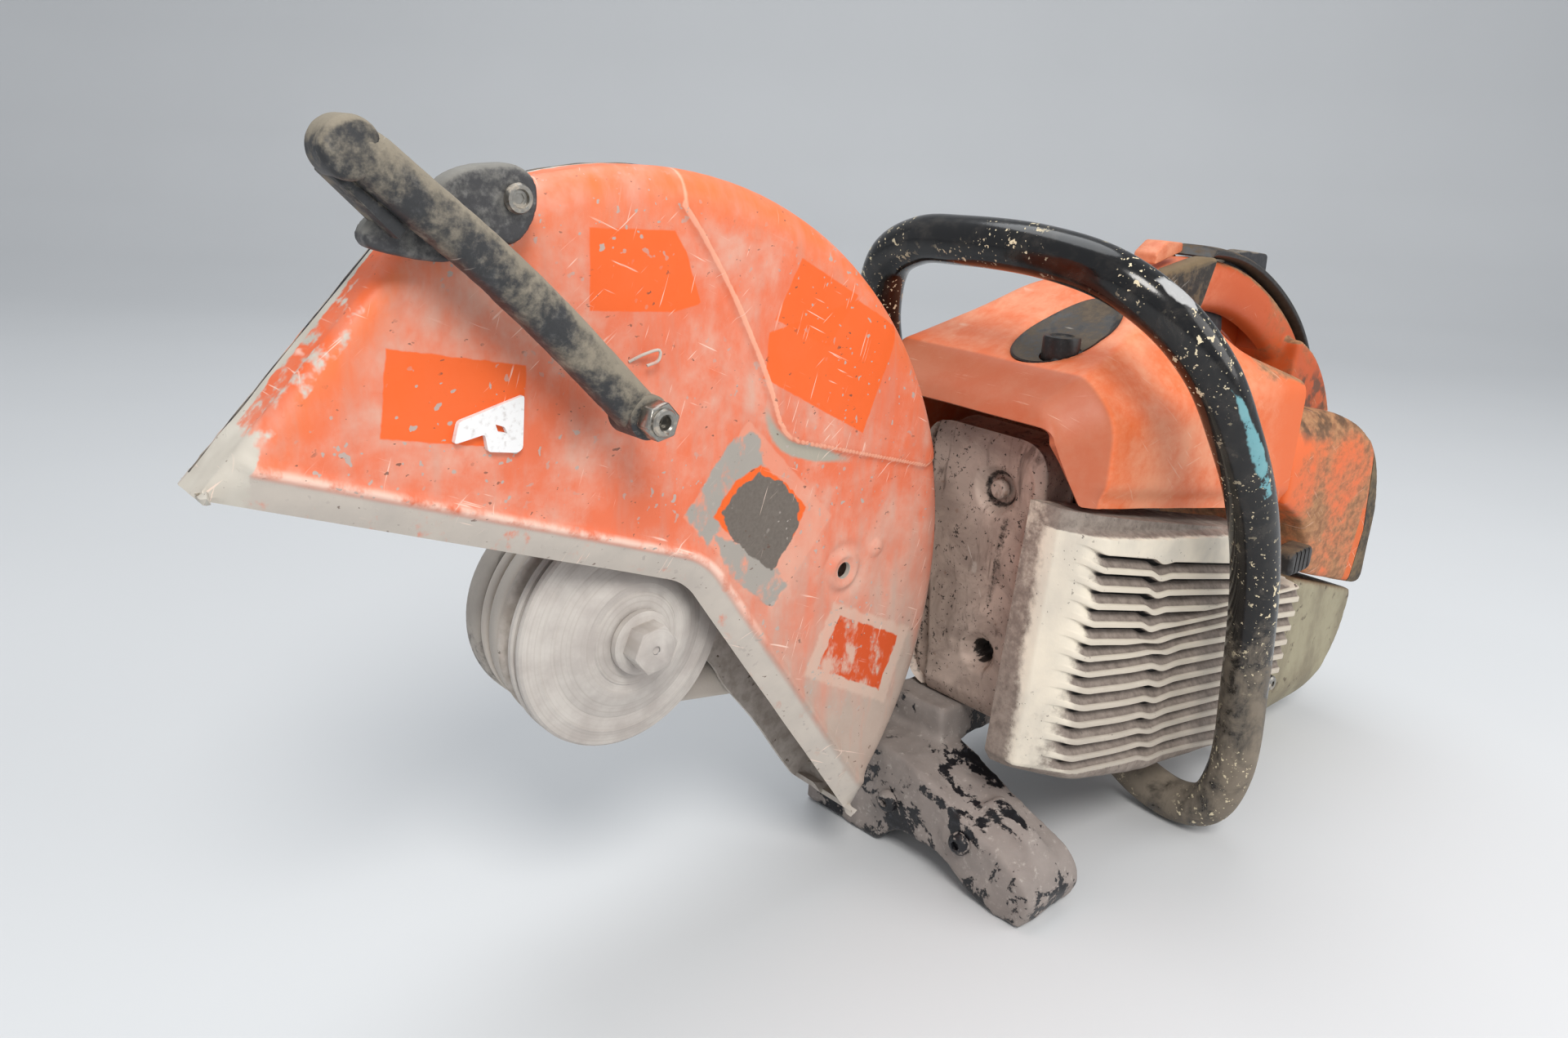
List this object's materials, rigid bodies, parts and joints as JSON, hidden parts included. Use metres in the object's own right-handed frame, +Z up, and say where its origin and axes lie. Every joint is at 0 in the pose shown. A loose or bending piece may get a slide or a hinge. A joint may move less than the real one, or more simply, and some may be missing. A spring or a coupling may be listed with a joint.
{
  "type": "masonry saw",
  "caption": "Petrol hand-held masonry saw without its wheel: tilting guard, spindle with thrust washers, engine, fan cover, rear handle, tank and front handle tube.",
  "frame": {"origin": "centre of the bounding box at the standing surface", "axes": "+X to the rear handle, +Y to the belt side, +Z up"},
  "size_m": [0.709, 0.2252, 0.3702],
  "materials": {
    "guard_paint": "worn orange paint with grey dust",
    "guard_dust": "cast alloy caked with grey concrete dust",
    "black_plastic": "scuffed black plastic with dust",
    "gloss_black": "glossy black coating, chipped",
    "steel": "dull zinc-plated steel",
    "dusty_steel": "steel with dried grey slurry",
    "light_alloy": "machined alloy",
    "cast_alloy": "grey die-cast alloy",
    "rubber": "dull black rubber",
    "exhaust_steel": "heat-browned sheet steel",
    "cream_plastic": "cream plastic with grey dust",
    "orange_plastic": "orange plastic with brown dust",
    "tank_plastic": "beige translucent plastic, dirty",
    "filter_felt": "pleated felt",
    "foot_plastic": "black plastic under thick grey mud"
  },
  "bodies": {
    "engine": {"spindle_bearing_front": "steel", "spindle_bearing_rear": "steel", "cast_arm": "cast_alloy", "belt_cover": "black_plastic", "drive_belt": "rubber", "arm_nut_front": "steel", "arm_nut_rear": "steel", "belt_tensioner": "steel", "crankcase_near_half": "cast_alloy", "crankcase_far_half": "cast_alloy", "cylinder": "cast_alloy", "piston": "light_alloy", "spark_plug": "steel", "spark_plug_boot": "rubber", "ignition_coil": "black_plastic", "muffler_shield": "exhaust_steel", "muffler_body": "exhaust_steel", "muffler_screw": "steel", "fan_cover": "cream_plastic", "fan_cover_screw_front": "steel", "fan_cover_screw_rear": "steel", "hood": "orange_plastic", "carburettor": "light_alloy", "air_filter": "filter_felt", "fuel_tank": "tank_plastic", "rear_housing": "orange_plastic", "rear_handle": "orange_plastic", "handle_grip_insert": "rubber", "front_handle": "gloss_black", "foot_bracket": "foot_plastic", "foot_screw_near": "steel", "foot_screw_far": "steel", "buffer_far": "rubber", "buffer_near": "rubber", "buffer_rear": "rubber"},
    "guard": {"guard_near_shell": "guard_paint", "guard_far_shell": "guard_dust", "adjusting_lever": "black_plastic", "lever_bracket": "black_plastic", "lever_screw": "steel", "water_nozzle": "steel"},
    "spindle": {"spindle_shaft": "steel", "front_thrust_washer": "dusty_steel", "rear_thrust_washer": "dusty_steel", "clamp_bolt": "dusty_steel", "spindle_pulley": "light_alloy"},
    "crank": {"crankshaft": "steel", "flywheel_fan": "light_alloy", "clutch": "steel"},
    "drum": {"clutch_drum": "steel"},
    "grip": {"starter_grip": "black_plastic"},
    "rope_pulley": {"starter_pulley": "black_plastic"},
    "trigger": {"throttle_trigger": "black_plastic"},
    "lockout": {"trigger_lockout": "black_plastic"},
    "switch": {"stop_switch": "orange_plastic"},
    "decompression": {"decompression_button": "rubber"},
    "cap": {"fuel_cap": "black_plastic"}
  },
  "joints": [
    {"name": "guard_tilt", "type": "hinge", "parent": "engine", "child": "guard", "pos_m": [-0.1875, 0.03205, 0.165], "axis": [0, 1, 0], "range_deg": [-30, 12]},
    {"name": "spindle_spin", "type": "hinge", "parent": "engine", "child": "spindle", "pos_m": [-0.1875, 0.03205, 0.165], "axis": [0, 1, 0], "continuous": true},
    {"name": "drum_spin", "type": "hinge", "parent": "engine", "child": "drum", "pos_m": [0.1125, 0.03205, 0.123], "axis": [0, 1, 0], "continuous": true},
    {"name": "crank_spin", "type": "hinge", "parent": "engine", "child": "crank", "pos_m": [0.1125, 0.03205, 0.123], "axis": [0, 1, 0], "continuous": true},
    {"name": "starter_pull", "type": "slide", "parent": "engine", "child": "grip", "axis": [0, -1, 0], "range_m": [0, 0.6], "stiffness_N_per_m": 12},
    {"name": "rope_pulley_turn", "type": "hinge", "parent": "engine", "child": "rope_pulley", "pos_m": [0.1125, 0.03205, 0.123], "axis": [0, 1, 0], "range_deg": [0, 990]},
    {"name": "trigger_pull", "type": "hinge", "parent": "engine", "child": "trigger", "pos_m": [0.1745, 0.00205, 0.291], "axis": [0, -1, 0], "range_deg": [0, 14], "stiffness_Nm_per_rad": 0.4, "springref_deg": -8.59},
    {"name": "lockout_press", "type": "hinge", "parent": "engine", "child": "lockout", "pos_m": [0.2085, 0.00205, 0.301], "axis": [0, 1, 0], "range_deg": [0, 7], "stiffness_Nm_per_rad": 0.4, "springref_deg": -8.59},
    {"name": "stop_switch_rock", "type": "hinge", "parent": "engine", "child": "switch", "pos_m": [0.1445, 0.00205, 0.312], "axis": [0, 1, 0], "range_deg": [-8, 8]},
    {"name": "decompression_press", "type": "slide", "parent": "engine", "child": "decompression", "axis": [0, 0, -1], "range_m": [0, 0.004], "stiffness_N_per_m": 600},
    {"name": "fuel_cap_turn", "type": "hinge", "parent": "engine", "child": "cap", "pos_m": [0.2825, 0.07805, 0.057], "axis": [0, 1, 0], "range_deg": [-90, 0]}
  ],
  "couplings": [
    {"joint": "drum_spin", "follows": "spindle_spin", "ratio": 1.92},
    {"joint": "rope_pulley_turn", "follows": "starter_pull", "rad_per_m": 28.57}
  ]
}
